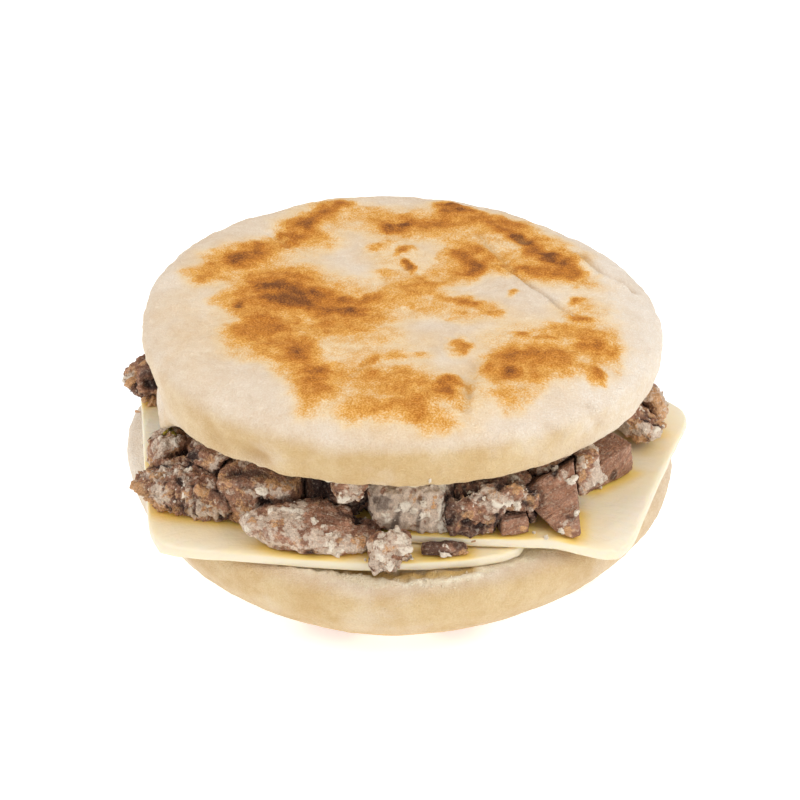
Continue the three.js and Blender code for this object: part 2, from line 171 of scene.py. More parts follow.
# Toasted patches of the griddled face, by area: middle x and y, half length, half width, turn in
# degrees and depth of the browning
TOAST_SPOTS = {
    "haze": [
        (-19, 43, 13, 9, 50, 0.26), (-36, 22, 14, 8, 35, 0.24), (-46, 12, 6, 5, 40, 0.2),
        (-27, 9, 14, 11, 0, 0.28), (-34, 14, 12, 6, 20, 0.13), (-21, 29, 8, 7, 40, 0.26),
        (-23, -3, 17, 13, 0, 0.28), (-4, -3, 13, 9, 10, 0.2), (3, 6, 9, 6, 30, 0.25),
        (-8, 7, 9, 5, 30, 0.2), (-28, -18, 11, 12, -30, 0.28), (-32, -23, 7, 6, 0, 0.16),
        (-24, -29, 6, 6, -40, 0.22), (-20, -36, 7, 13, 5, 0.24), (-7, -22, 14, 9, 0, 0.2),
        (-8, -38, 13, 12, 0, 0.12), (2, -44, 17, 13, 0, 0.24), (33, -24, 17, 14, 15, 0.3),
        (24, -40, 7, 8, -10, 0.22), (8, 38, 23, 10, -5, 0.32), (34, 21, 12, 10, -40, 0.34),
        (28, 35, 11, 8, -40, 0.26), (36, 10, 12, 5, -20, 0.24), (16, 20, 8, 11, 0, 0.28),
        (10, 11, 12, 6, 30, 0.26), (24, 16, 8, 6, 0, 0.24), (-1, 20, 8, 11, 20, 0.18),
        (13, -4, 13, 7, -20, 0.28), (40, -4, 6, 8, 0, 0.2), (46, -10, 6, 18, 0, 0.12),
        (-12, -14, 12, 7, 0, 0.18), (-45, -8, 11, 27, 0, 0.06),
    ],
    "left": [
        (-20, 44, 8, 4, 55, 0.48), (-25, 36.5, 7, 5, 40, 0.36), (-14, 48.5, 4, 2.5, 30, 0.25),
        (-21, 31, 4.5, 4, 0, 0.25), (-29, 30, 6, 4.5, 30, 0.34), (-36.5, 22, 9, 5.5, 30, 0.46),
        (-38, 20.5, 4, 2.6, 30, 0.3), (-45, 15, 4, 4, 40, 0.18), (-47, 10, 3.5, 2.5, 30, 0.16),
    ],
    "middle": [
        (-27, 3, 11, 9, 0, 0.52), (-26, 2, 8, 5, -10, 0.34), (-30, 9, 7, 4, 10, 0.28),
        (-13, -4, 9, 6, 0, 0.48), (-13, -6, 5.5, 3, 0, 0.3), (-7, 1, 4, 2.5, 30, 0.26),
        (-36.5, -3, 3, 4, 0, 0.3), (-36.5, -3, 1.2, 1.6, 0, 0.5), (-14, -12, 8, 5, 0, 0.25),
        (-4, -8, 6, 4, 0, 0.1), (-41, 0, 3, 3.5, 0, 0.2),
    ],
    "left front": [
        (-32, -12, 6, 6.5, 0, 0.45), (-33.5, -20, 5, 4, 0, 0.28), (-27, -17, 5, 4, 0, 0.25),
        (-22, -22, 4.5, 4.5, -30, 0.35), (-24, -28, 4, 3.5, -40, 0.22), (-20, -27, 3.5, 3.5, 0, 0.3),
        (-19, -34, 5, 6, 0, 0.4), (-17, -32, 3, 2.6, 0, 0.22), (-18, -42, 5, 6, 0, 0.3),
        (-20, -49, 3, 3, 0, 0.2),
    ],
    "front": [
        (-8, -36, 7, 5, 0, 0.2), (0, -37, 6, 4.5, 0, 0.28), (3, -43, 8, 5, 0, 0.2),
        (-8, -50, 8, 3.2, 5, 0.3), (2, -50, 6, 4, 0, 0.34), (8, -54, 5, 3, 0, 0.24),
        (-7, -29, 3, 2, 20, 0.28), (1, -28, 5, 2, 0, 0.24), (11, -41, 3.8, 5.2, 0, 0.55),
        (12.5, -47, 3, 3, 0, 0.24), (12.5, -23, 3.2, 4.8, -15, 0.52),
    ],
    "front right": [
        (25, -29, 6.5, 6.5, 0, 0.42), (24, -28, 3.6, 4, 0, 0.25), (32, -26, 6, 5, 0, 0.35),
        (22, -35, 4, 5, 0, 0.28), (28, -35, 5, 4, 0, 0.16), (38, -15, 5, 4, -20, 0.32),
        (43, -21, 5, 5, 0, 0.38), (36, -31, 5, 4, 0, 0.2), (42, -32, 2.2, 4, 0, 0.5),
        (24, -44, 4, 4, 0, 0.24), (33, -19, 2, 1.6, 0, 0.4), (40.5, -9, 2.8, 2.2, 0, 0.4),
        (40, 0, 2.2, 2.5, 0, 0.35), (47, -26, 2, 4, 0, 0.16), (26.5, -17.5, 2.2, 1.6, 0, 0.35),
    ],
    "back": [
        (-3, 42, 5, 5, 0, 0.3), (-0.8, 37, 3.2, 3.4, 0, 0.68), (6, 37, 5, 6, 0, 0.34),
        (12, 40, 6, 4, 0, 0.3), (13, 47, 5.5, 3.6, -20, 0.72), (20, 42, 5, 4, -20, 0.4),
        (26, 38, 5, 4, -40, 0.34),
    ],
    "right": [
        (29, 30, 2.6, 2.4, 0, 0.6), (29, 31, 5, 4, -40, 0.35), (33, 24, 4.5, 4, -30, 0.3),
        (36, 20.5, 5.5, 3.6, -40, 0.66), (38, 14, 6, 5, 0, 0.35), (31, 14, 5, 3.5, 0, 0.3),
        (43, 11, 4, 4, 0, 0.24), (16.5, 24, 4.5, 5, 0, 0.36), (12, 22, 3, 3.5, 0, 0.26),
        (17, 15, 2.8, 5.2, 15, 0.62), (21, 17, 4, 3, 0, 0.22),
    ],
    "small": [
        (-5, 27, 4, 2.4, 25, 0.34), (1, 23.5, 3, 1.8, 40, 0.42), (1.8, 16.5, 1.4, 3, 15, 0.6),
        (-3.5, 13.5, 2.6, 2.2, 0, 0.3), (26, 2.5, 1.6, 1.6, 0, 0.35), (15, -2, 6.5, 2.6, -18, 0.36),
        (21, -6, 4, 2.2, -35, 0.3), (12, -8, 2, 2, 0, 0.24),
    ],
}
SPOT_CORE = 0.3
SPOT_EDGE = 1.45
TOAST_WARP = 2.2
TOAST_WARP_SIZE = 6
TOAST_GAIN = 1.15
TOAST_PATCHINESS = 0.42
TOAST_PATCH_SIZE = 4
TOAST_SWELL = 0.45

# Upper half: steepness of its top, of its cut face and of its rim, and its relief as height and size
UPPER_TOP = (0.5, 0.9)
UPPER_CUT = (0.6, 0.9)
UPPER_RIM = (-0.1, 0.85)
UPPER_SWELLS = (0.42, 8)
UPPER_PORES = (0.16, 2.2)
CUT_PORES = (0.5, 2.5)
CUT_SINK = 0.4

# Lower half: steepness of its base and of the ragged edge between crust and crumb, and its relief
LOWER_BASE = (0.7, 0.97)
CRUMB_EDGE = (0.975, 0.999)
CRUMB_EDGE_RAG = 0.02
CRUMB_EDGE_SIZE = 3
CRUMB_EDGE_HEIGHT = 0.5
LOWER_SWELLS = (0.3, 9)
LOWER_PORES = (0.1, 2)
CRUMB_PORES = (0.4, 2)

# Browning of the lower half's underside, and flour that lies in clouds on both halves
UNDERSIDE_SIZE = 16
UNDERSIDE_EDGE = (-0.1, 0.8)
UNDERSIDE_BROWNING = 0.75
FLOUR_SIZE = 12
UPPER_FLOUR = 0.5
UPPER_FLOUR_EDGE = (0, 0.7)
LOWER_FLOUR = 0.4
LOWER_FLOUR_EDGE = (0.2, 0.8)

# Share of the rim's colour at its left and right, painted paler than at the front as light from the side
# lamps, and where the upper half is painted whiter at the right and the lower half at the left, as painted
# light
RIM_PALE = 0.12
WHITE_RIM = (20, 58)
WHITE_LEFT = (44, 60)

# Oil and painted contact shade that the cheese takes near the meat, as share and reach close by and further
# off, and an oil stain with painted shade that the bread takes up from the cheese
CONTACTS = [(0.55, 3.5), (0.3, 11)]
CHEESE_STAIN = 0.4
CHEESE_STAIN_REACH = (0.4, 3)

# Steepness of the cheese's cut edge, whose steep sides are painted darker as shade, and its relief as height
# and size
CUT_EDGE = (0.3, 0.8)
CHEESE_SWELLS = (0.12, 9)

# Oily line of the lower half under the cheese's front edge, also the cheese's painted shadow there, by
# pixels
OILY_LINE = ((338, 568), (370, 574), (410, 577), (445, 575), (470, 570))
OILY_WIDTH = 1.3
OILY_EDGE = (0.3, 2)
OILY_DEPTH = 0.8

# Torn pale edge of the crust below it, by pixels
TORN_LINE = ((335, 574), (370, 581), (410, 585), (445, 583), (478, 576))
TORN_WIDTH = 0.9
TORN_EDGE = (0.3, 1.2)
TORN_RAG = 0.9
TORN_RAG_SIZE = 1.5
TORN_HEIGHT = 0.4

# Marks on the griddled bread that the photo shows: a line of pixels, half width and height
BREAD_MARKS = [
    (((577, 256), (589, 268), (602, 277), (617, 285), (626, 290)), 0.9, 0.8),
    (((580, 253), (593, 265), (606, 274), (621, 282), (632, 290)), 1.3, -1.2),
    (((497, 267), (528, 287), (550, 302), (569, 316)), 0.6, 0.5),
    (((500, 265), (531, 285), (553, 300), (573, 314)), 0.7, -0.7),
    (((521, 279), (545, 294), (560, 308)), 0.5, -0.4),
    (((477, 233), (495, 252), (513, 270)), 0.8, -0.8),
    (((269, 230), (281, 235), (290, 244)), 0.7, 0.7),
    (((270, 234), (281, 240), (288, 248)), 0.7, -0.6),
    (((475, 360), (471, 385), (466, 408)), 1.3, -0.8),
    (((238, 306),), 0.8, -1.2),
    (((407, 267),), 1.1, -1.0),
    (((523, 241),), 1.5, -1.0),
    (((247, 457),), 4.2, -1.5),
    (((262, 461),), 2.5, -1.1),
    (((210, 430), (222, 447)), 2.2, -0.8),
    (((365, 362), (352, 375)), 0.9, -0.6),
    (((448, 378),), 2.6, 0.6),
    (((470, 395), (462, 372)), 0.8, -0.6),
    (((548, 425), (560, 440)), 1.4, -0.6),
    (((590, 405), (600, 425)), 1.4, -0.7),
    (((500, 432), (515, 428)), 1.2, 0.5),
]
# Share of the painted shade that the sunken marks take
MARK_TINT = 0.35

# Kinds of meat surface: depths of the lumps, ridges and strands, width of the strands, and shares of the
# painted shade in valleys and of the surface that carries crumbs, pale fat, tan and dark patches
MEAT_TRAITS = ("lump", "ridge", "strand", "width", "valley", "crumbs", "fat", "tan", "dark")
MEAT_KINDS = {
    "clean": (0.1, 0.05, 0.08, 0.6, 0.2, 0, 0, 0, 0.03),
    # dark: dark nearly all over; on the inner chunk this is painted shade, on the shred the shred's own
    # colour
    "dark": (0.3, 0.1, 0.1, 0.8, 0.4, 0.03, 0.03, 0.06, 0.95),
    "cut": (0.2, 0.12, 0.15, 0.7, 0.3, 0.06, 0.16, 0.3, 0.06),
    "grey": (0.4, 0.25, 0.08, 1, 0.5, 0.16, 0.5, 0.25, 0.12),
    "torn": (0.9, 0.5, 0.4, 1, 0.4, 0.12, 0.36, 0.5, 0.1),
    "crumbly": (0.6, 0.3, 0.08, 1, 0.3, 0.3, 0.55, 0.4, 0.03),
    "crusty": (0.9, 0.5, 0.15, 0.9, 0.5, 0.1, 0.2, 0.3, 0.35),
    # heaped: the heap behind is painted darker in its valleys and patches as shade in the cavities between
    # the chunks
    "heaped": (1.8, 0.9, 0.4, 1.4, 0.6, 0.04, 0.12, 0.3, 0.4),
    "gristly": (0.4, 0.06, 0.5, 2.2, 0.12, 0.08, 0.97, 0.03, 0.02),
}
LUMP_SIZE = 4.5
RIDGE_SIZE = 2.6
STRAND_LENGTH = 9
VALLEY = (-0.75, 0.05)
CRUMB_SIZE = 1.5
CRUMB_STEP = (0.02, 0.28)
CRUMB_HEIGHT = 0.55
CRUMB_AREA = 6
PATCH_SOFT = 0.22
PATCH_SIZES = {"fat": 5, "tan": 3.2, "dark": 4.5}
PALE_SIZE = 3
PALE_EDGE = (-0.1, 0.1)
GAP_REACH = (0.35, 1.5)
GAP_DEPTH = 0.3

# How strongly each share shows on the meat, and how far one clears another away
FAT_LEAST = 0.7
FAT_GAIN = 0.5
FAT_LOST_IN_VALLEYS = 0.5
FAT_LOST_UNDER_TAN = 0.7
TOUCHED_FAT = 0.7
TAN_PATCHES = 0.7
TAN_CRUMBS = 0.7
DARK_PATCHES = 0.75
# Painted shade in the gaps between pieces, which also clears their pale colours
DARK_GAPS = 0.36
TOUCHED_SHADE = 0.7
GAP_CLEARS = 0.6
BARE_CLEARS = 0.85
PAINT_CLEARS = 0.8

# The kind of each piece of meat and the direction of its fibres
MEAT_PIECES = {
    "meat_chunk_left_back": ("crusty", (1, 0.4, 0.1)),
    "meat_chunk_left": ("crumbly", (0.8, 0.5, 0.4)),
    "meat_chunk_left_front": ("torn", (0.2, 0.1, 1)),
    "meat_chunk_left_inner": ("cut", (0.5, 0.5, 0.2)),
    "meat_block_left": ("cut", (0.3, 0.2, 1)),
    "meat_slab_front": ("grey", (1, 0.1, -0.1)),
    # The inner chunk lies in deep shadow under the bread and is painted dark all over as that shade
    "meat_chunk_inner": ("dark", (1, 0.2, 0)),
    "meat_nub_front": ("crumbly", (1, 0, 0.3)),
    "meat_chunk_gristle": ("gristly", (0.25, 0.1, 1)),
    "meat_block_front": ("clean", (1, 0.2, 0.3)),
    "meat_chunk_front": ("crusty", (1, 0.1, 0.1)),
    "meat_wedge_right": ("clean", (1, 0.2, 0.6)),
    "meat_crumbly_right": ("crumbly", (1, 0.3, 0.5)),
    "meat_block_right": ("clean", (0.6, 0.6, 0.4)),
    "meat_slab_right_back": ("crumbly", (0.6, 0.7, 0)),
    "meat_chunk_right_back": ("crumbly", (0.2, 0.3, 1)),
    "meat_shred": ("dark", (1, 0.1, 0)),
    "fat_scrap": ("crumbly", (0.3, 0.2, 1)),
}
BACK_KINDS = ["torn", "crusty", "cut", "crumbly"]
BACK_COUNT = 7
BACK_FIBRE_RISE = 0.8
HEAP_FIBRES = (0.2, 0.2, 1)
MEAT_SEED = 20
BACK_SEED = 300
HEAP_SEED = 400
SEEDS_FOR_A_PIECE = 9

# How far the touches below raise the surface, as a share of their radius
TOUCH_LIFTS = {
    "fat": 0.1, "white": 0.4, "tan": 0.15, "bare": 0, "shade": -0.15, "dark": -0.75, "nick": -0.9,
}

# Touches of colour and form on the meat that the photo shows: pixels x and y, and radius
# The dark touches carve hollows and are painted dark as their shade; the shade touches are painted shade
MEAT_SPOTS = {
    "fat": [
        (157, 444, 3.2), (158, 432, 2.4), (160, 458, 2.2), (172, 430, 2), (180, 471, 2.6), (165, 497, 1.8),
        (211, 484, 1.4), (295, 521, 3), (317, 540, 3.4), (270, 528, 3), (350, 496, 2.2), (418, 526, 3),
        (400, 510, 1.6), (507, 504, 2.6), (498, 505, 1.8), (461, 503, 1.2), (487, 517, 1), (563, 474, 1.8),
        (566, 524, 1.4), (645, 430, 2.4), (390, 540, 3.4), (383, 560, 3), (400, 550, 2.6),
    ],
    "white": [
        (314, 522, 0.8), (331, 545, 1.1), (336, 554, 0.9), (270, 511, 0.8), (248, 529, 0.8), (385, 514, 0.9),
        (424, 503, 0.9), (512, 503, 1), (518, 508, 0.8), (577, 513, 0.7), (561, 531, 0.8), (573, 481, 1),
        (657, 430, 0.9), (378, 546, 1.6), (402, 540, 1.5), (406, 551, 1.4), (381, 558, 1.5), (390, 566, 1.3),
    ],
    "tan": [
        (138, 487, 2.2), (147, 494, 2.2), (153, 459, 1.4), (202, 492, 1.6), (165, 508, 1.4), (134, 484, 2.2),
        (142, 489, 2.4), (272, 484, 1.6), (286, 487, 1.4), (253, 522, 1.3), (274, 526, 1.2), (354, 540, 1),
        (360, 541, 1.8), (416, 499, 1.5), (427, 512, 0.9), (516, 487, 2), (532, 501, 1.2), (523, 529, 0.9),
        (580, 476, 1.7), (568, 530, 1.4), (652, 396, 3.4), (661, 412, 4), (650, 404, 3), (640, 440, 1.6),
        (391, 549, 1.1), (142, 362, 1.4), (462, 552, 1),
    ],
    "dark": [
        (190, 449, 2.4), (184, 453, 1.6), (239, 470, 1.4), (263, 505, 2), (318, 490, 3), (330, 491, 2.6),
        (361, 513, 2.4), (370, 513, 1.4), (455, 491, 2.4), (468, 489, 2), (467, 524, 1.8),
        (480, 527, 1.6), (450, 523, 1.2), (554, 473, 1), (135, 385, 1.6), (150, 385, 1.6), (225, 518, 1),
    ],
    "shade": [(382, 504, 2.2), (376, 500, 1.6), (388, 500, 1.2), (420, 500, 1.2)],
    "nick": [(407, 567, 2.6), (374, 567, 2.2), (378, 537, 1.4), (398, 553, 0.8)],
}

# The same along short lines: pixels x and y of both ends, and radius
# The dark strokes likewise carve hollows painted dark as their shade, and the shade strokes are painted
# shade
MEAT_STROKES = {
    "fat": [(247, 533, 300, 548, 1.3), (425, 530, 438, 524, 1.4), (430, 482, 434, 530, 2.2)],
    "white": [
        (440, 484, 441, 509, 1.4), (441, 509, 442, 526, 1.4), (183, 482, 184, 497, 0.5),
        (168, 474, 190, 468, 0.6), (494, 503, 518, 504, 0.8), (285, 509, 305, 513, 0.7),
        (330, 552, 342, 550, 0.7), (406, 506, 397, 533, 1.4), (414, 511, 411, 536, 1.3),
        (424, 515, 424, 534, 1.2), (388, 520, 384, 534, 1),
    ],
    "tan": [(434, 497, 434, 507, 0.6), (141, 483, 152, 500, 1.2), (268, 482, 290, 488, 0.9)],
    "dark": [
        (179, 481, 183, 511, 0.9), (193, 486, 196, 512, 0.7), (165, 484, 170, 510, 0.6),
        (152, 466, 190, 463, 0.9), (217, 474, 222, 519, 1), (448, 490, 449, 525, 0.9),
        (497, 513, 496, 532, 0.5), (640, 418, 662, 428, 0.5),
    ],
    "bare": [(316, 514, 372, 530, 3), (330, 510, 350, 514, 2)],
    "shade": [
        (340, 512, 372, 526, 1), (232, 474, 262, 474, 1.6), (505, 480, 528, 486, 1.6),
        (401, 505, 393, 528, 0.8), (410, 510, 405, 534, 0.7), (420, 510, 418, 532, 0.6),
    ],
}
TOUCH_CORE = 0.45
TOUCH_EDGE = 1.25
TOUCH_WARP = 1.4
TOUCH_WARP_SIZE = 1.3
TOUCH_WARP_RADIUS = 2.5

# Loose bits that the photo shows: pixel x and y, and half length, width and height
FAT_CHIPS = [
    (263, 491, 1.3, 0.9, 0.8), (546, 538, 0.6, 0.5, 0.4), (534, 533, 0.4, 0.35, 0.3),
    (445, 554, 1, 0.6, 0.5), (430, 480, 0.3, 0.3, 0.5), (331, 546, 0.9, 0.7, 0.6),
    (314, 521, 0.7, 0.6, 0.5), (424, 504, 0.8, 0.5, 0.5), (577, 512, 0.6, 0.5, 0.5),
    (385, 515, 0.7, 0.5, 0.4), (561, 530, 0.6, 0.5, 0.4), (338, 555, 0.8, 0.5, 0.4),
    (365, 560, 0.35, 0.3, 0.25), (470, 493, 0.5, 0.4, 0.4), (484, 498, 0.5, 0.4, 0.4),
    (572, 480, 1, 0.8, 0.7), (555, 470, 0.8, 0.6, 0.6), (600, 487, 0.5, 0.4, 0.4),
    (248, 512, 0.4, 0.3, 0.3), (298, 519, 0.6, 0.4, 0.4),
]
MEAT_BITS = [
    (131, 381, 1.5, 1, 0.9), (153, 400, 1.6, 1.1, 0.8), (146, 399, 1, 0.8, 0.7),
    (138, 412, 1.5, 0.25, 0.25), (466, 553, 0.7, 0.25, 0.2), (474, 541, 0.5, 0.4, 0.15),
]
HERB_BITS = [(170, 430, 0.7, 0.5, 0.3), (173, 434, 1.0, 0.45, 0.5), (165, 433, 0.8, 0.4, 0.3)]
BIT_RISE = 0.35
GRAIN_ROUGHNESS = 0.9
BIT_LEVELS = 3
CRUMB_LEVELS = 2
SCATTER_SEED = 5
BIT_SEEDS = {"fat_crumbs": 500, "fat_chips": 600, "meat_bits": 700, "bread_crumbs": 800, "herb_bits": 900}

# Crumbs strewn over the crumbly pieces, and bread crumbs at the lower half's front edge
CRUMBLY_PIECES = [
    "meat_slab_front", "meat_nub_front", "meat_crumbly_right", "meat_slab_right_back",
    "meat_chunk_right_back", "meat_chunk_left_front", "meat_chunk_front", "fat_scrap",
    "meat_chunk_back_2", "meat_chunk_back_4", "meat_chunk_back_6",
]
STREWN_COUNT = 14
STREWN_SIZES = (0.15, 0.42)
STREWN_SQUASH = (0.6, 1)
STREWN_LEAN = -0.2
RIM_CRUMB_COUNT = 40
RIM_CRUMB_SCATTER = 3
RIM_CRUMB_SIZES = (0.1, 0.3)

# Noise: how far apart two seeds are, how much weaker and finer each octave is, and how sharp crests are
SEED_STEP = 17.3
OCTAVE_FALL = 1
OCTAVE_STEP = 2
FEW_OCTAVES = 2
OCTAVES = 3
MANY_OCTAVES = 4
CREST = 3

# Sockets that carry the colours of a Mix node
MIX_SHARE = 0
MIX_FIRST = 6
MIX_SECOND = 7
MIX_RESULT = 2


# Numbers over a surface
def smooth_step(low, high, value):
    share = np.clip((value - low) / (high - low), 0, 1)
    return share * share * (3 - 2 * share)


def fractal_field(points, size, seed, octaves=OCTAVES):
    """Lumpy noise from about -1 to 1, with its largest lumps of this size."""
    places = points / size + SEED_STEP * seed
    return np.array([noise.fractal(place, OCTAVE_FALL, OCTAVE_STEP, octaves) for place in places])


def swells(points, height, size, seed):
    """Lumpy noise of about this height, with its largest lumps of this size."""
    return height * fractal_field(points, size, seed)


def ridge_field(points, size, seed, octaves=OCTAVES):
    """Noise with sharp crests, 1 on the crests and about -1 in the valleys."""
    return 1 - CREST * np.abs(fractal_field(points, size, seed, octaves))


def fibre_places(points, direction):
    """The points turned so that their first coordinate runs along the fibres."""
    along = Vector(direction).normalized()
    across = along.orthogonal().normalized()
    return points @ np.array([along, across, along.cross(across)]).T


def patch_share(across, along, spots):
    """How far each point of a flat face lies in any of the soft oval spots."""
    bare = np.ones(len(across))
    for x, y, length, width, turn, depth in spots:
        cosine = math.cos(math.radians(turn))
        sine = math.sin(math.radians(turn))
        right = ((across - x) * cosine + (along - y) * sine) / length
        up = ((along - y) * cosine - (across - x) * sine) / width
        inside = 1 - smooth_step(SPOT_CORE, SPOT_EDGE, np.hypot(right, up))
        bare *= 1 - depth * inside
    return 1 - bare


def distance_to_path(points, path):
    """Distance of each point from a line through several places, or from a single place."""
    nearest = np.linalg.norm(points - path[0], axis=1)
    for start, end in zip(path[:-1], path[1:]):
        run = end - start
        share = np.clip((points - start) @ run / (run @ run), 0, 1)
        away = points - start - share[:, None] * run
        nearest = np.minimum(nearest, np.linalg.norm(away, axis=1))
    return nearest


def distance_to_tree(points, tree):
    nearest = [tree.find_nearest(place) for place in points * MM]
    return np.array([away for _, _, _, away in nearest]) / MM


# Meshes
def points_of(mesh):
    flat = np.empty(len(mesh.vertices) * 3)
    mesh.vertices.foreach_get("co", flat)
    return flat.reshape(-1, 3) / MM


def normals_of(mesh):
    flat = np.empty(len(mesh.vertices) * 3, np.float32)
    mesh.vertex_normals.foreach_get("vector", flat)
    return flat.reshape(-1, 3).astype(float)


def move_points(mesh, points):
    mesh.vertices.foreach_set("co", (points * MM).astype(np.float32).ravel())
    mesh.update()


def store(mesh, **values):
    """Keeps numbers for each point, which the materials read by name."""
    for name, numbers in values.items():
        layer = mesh.attributes.new(name, "FLOAT", "POINT")
        layer.data.foreach_set("value", numbers.astype(np.float32))


def store_places(mesh, name, places):
    layer = mesh.attributes.new(name, "FLOAT_VECTOR", "POINT")
    layer.data.foreach_set("vector", places.astype(np.float32).ravel())


def skin(node, modifiers):
    """A mesh from a CAD node, through modifiers given as (kind, settings), with its points and normals."""
    shape = bpy.data.objects.new("shape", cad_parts[node].data.copy())
    bpy.context.scene.collection.objects.link(shape)
    for kind, settings in modifiers:
        modifier = shape.modifiers.new(kind, kind)
        for name, value in settings.items():
            setattr(modifier, name, value)
    graph = bpy.context.evaluated_depsgraph_get()
    mesh = bpy.data.meshes.new_from_object(shape.evaluated_get(graph))
    bpy.data.objects.remove(shape)
    mesh.materials.clear()
    for layer in list(mesh.color_attributes):
        mesh.color_attributes.remove(layer)
    mesh.shade_smooth()
    return mesh, points_of(mesh), normals_of(mesh)


def even_skin(node, voxel, smoothing):
    """An even, fine mesh over a CAD node, with its facets smoothed away."""
    return skin(node, [
        ("REMESH", {"mode": "VOXEL", "voxel_size": voxel * MM}),
        ("SMOOTH", {"factor": SMOOTH_FACTOR, "iterations": smoothing}),
    ])


def tree_of(nodes):
    """CAD nodes as one tree, in metres, to find what a line meets and what is near."""
    corners = []
    faces = []
    for node in nodes:
        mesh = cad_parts[node].data
        first = len(corners)
        corners += [vertex.co.copy() for vertex in mesh.vertices]
        faces += [[first + corner for corner in face.vertices] for face in mesh.polygons]
    return BVHTree.FromPolygons(corners, faces)


def make_piece(name, mesh, material, nodes=()):
    mesh.name = name
    mesh.materials.append(material)
    piece = bpy.data.objects.new(name, mesh)
    bpy.context.scene.collection.objects.link(piece)
    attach(piece, BODY)
    if nodes:
        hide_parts(*nodes)
    return piece


# Wiring of materials
def display_colour(red, green, blue):
    """A display colour as the linear colour that sockets take."""
    shown = Color((red / FULL, green / FULL, blue / FULL))
    return (*shown.from_srgb_to_scene_linear(), 1)


class Wiring:
    """A node tree while it is being put together."""

    def __init__(self, tree):
        self.tree = tree

    def feed(self, socket, value):
        if isinstance(value, bpy.types.NodeSocket):
            self.tree.links.new(value, socket)
        else:
            socket.default_value = value

    def add(self, kind, inputs, **settings):
        node = self.tree.nodes.new(kind)
        for name, value in settings.items():
            setattr(node, name, value)
        for name, value in inputs.items():
            self.feed(node.inputs[name], value)
        return node

    def math(self, operation, *values):
        return self.add("ShaderNodeMath", dict(enumerate(values)), operation=operation).outputs[0]

    def total(self, first, second):
        return self.math("ADD", first, second)

    def scaled(self, value, factor):
        return self.math("MULTIPLY", value, factor)

    def rest(self, share):
        return self.math("SUBTRACT", 1.0, share)

    def raised(self, least, gain, share):
        return self.total(least, self.scaled(share, gain))

    def ramp(self, value, low, high):
        inputs = {"Value": value, "From Min": low, "From Max": high}
        return self.add("ShaderNodeMapRange", inputs, interpolation_type="SMOOTHSTEP").outputs[0]

    def mix(self, share, first, second, blend="MIX"):
        inputs = {MIX_SHARE: share, MIX_FIRST: first, MIX_SECOND: second}
        return self.add("ShaderNodeMix", inputs, data_type="RGBA", blend_type=blend).outputs[MIX_RESULT]

    def tint(self, share, colour, second):
        """A colour mixed towards a display colour."""
        return self.mix(share, colour, display_colour(*second))

    def stored(self, name, output="Fac"):
        return self.add("ShaderNodeAttribute", {}, attribute_name=name).outputs[output]

    def ragged(self, share, grain):
        """A share whose soft edge is broken up by a grain."""
        centred = self.math("SUBTRACT", grain, 0.5)
        return self.ramp(self.total(share, self.scaled(centred, RAG_DEPTH)), *RAG_EDGE)

    def colour_ramp(self, value, stops):
        node = self.add("ShaderNodeValToRGB", {0: value})
        band = node.color_ramp
        while len(band.elements) < len(stops):
            band.elements.new(1)
        for element, (place, colour) in zip(band.elements, stops):
            element.position = place
            element.color = display_colour(*colour)
        return node.outputs[0]

    def group(self, tree, inputs):
        node = self.add("ShaderNodeGroup", {}, node_tree=tree)
        for name, value in inputs.items():
            self.feed(node.inputs[name], value)
        return node.outputs[0]

    def grain(self, name):
        size, low, high = GRAINS[name]
        return self.group(GRAIN, {"Size": size, "Low": low, "High": high})

    def drawn_out(self, name, edge):
        """Streaks or strands: noise over places that are stored squeezed along their length."""
        cloud = self.add("ShaderNodeTexNoise", {"Vector": self.stored(name, "Vector"), "Scale": 1.0})
        return self.ramp(cloud.outputs[0], *edge)


def new_group(name, inputs, output):
    """An empty shader group with number inputs, given with their usual values, and one output."""
    tree = bpy.data.node_groups.new(name, "ShaderNodeTree")
    for label, value in inputs.items():
        socket = tree.interface.new_socket(label, in_out="INPUT", socket_type="NodeSocketFloat")
        socket.default_value = value
    tree.interface.new_socket(output, in_out="OUTPUT", socket_type="NodeSocketFloat")
    wiring = Wiring(tree)
    entry = wiring.add("NodeGroupInput", {})
    leave = wiring.add("NodeGroupOutput", {})
    return tree, wiring, entry.outputs, leave.inputs[0]


def grain_group():
    """Cloudy grain of a size in millimetres, spread out between two levels."""
    tree, wiring, given, result = new_group("grain", {"Size": 1.0, "Low": 0.3, "High": 0.7}, "Mask")
    place = wiring.add("ShaderNodeTexCoord", {}).outputs["Object"]
    scale = wiring.math("DIVIDE", 1 / MM, given["Size"])
    cloud = wiring.add("ShaderNodeTexNoise", {"Vector": place, "Scale": scale, "Detail": GRAIN_DETAIL})
    wiring.feed(result, wiring.ramp(cloud.outputs[0], given["Low"], given["High"]))
    return tree


def speck_group():
    """Scattered round specks, at a pitch in millimetres, in a share of the cells."""
    tree, wiring, given, result = new_group("specks", {"Pitch": 1.0, "Share": 0.3, "Reach": 0.4}, "Mask")
    place = wiring.add("ShaderNodeTexCoord", {}).outputs["Object"]
    scale = wiring.math("DIVIDE", 1 / MM, given["Pitch"])
    cells = wiring.add("ShaderNodeTexVoronoi", {"Vector": place, "Scale": scale})
    chance = wiring.add("ShaderNodeSeparateColor", {0: cells.outputs["Color"]})
    chosen = wiring.math("LESS_THAN", chance.outputs[0], given["Share"])
    reach = wiring.scaled(given["Reach"], wiring.total(LEAST_SPECK, chance.outputs[1]))
    near = wiring.rest(wiring.ramp(cells.outputs["Distance"], 0.0, reach))
    wiring.feed(result, wiring.scaled(chosen, near))
    return tree


GRAIN = grain_group()
SPECKS = speck_group()


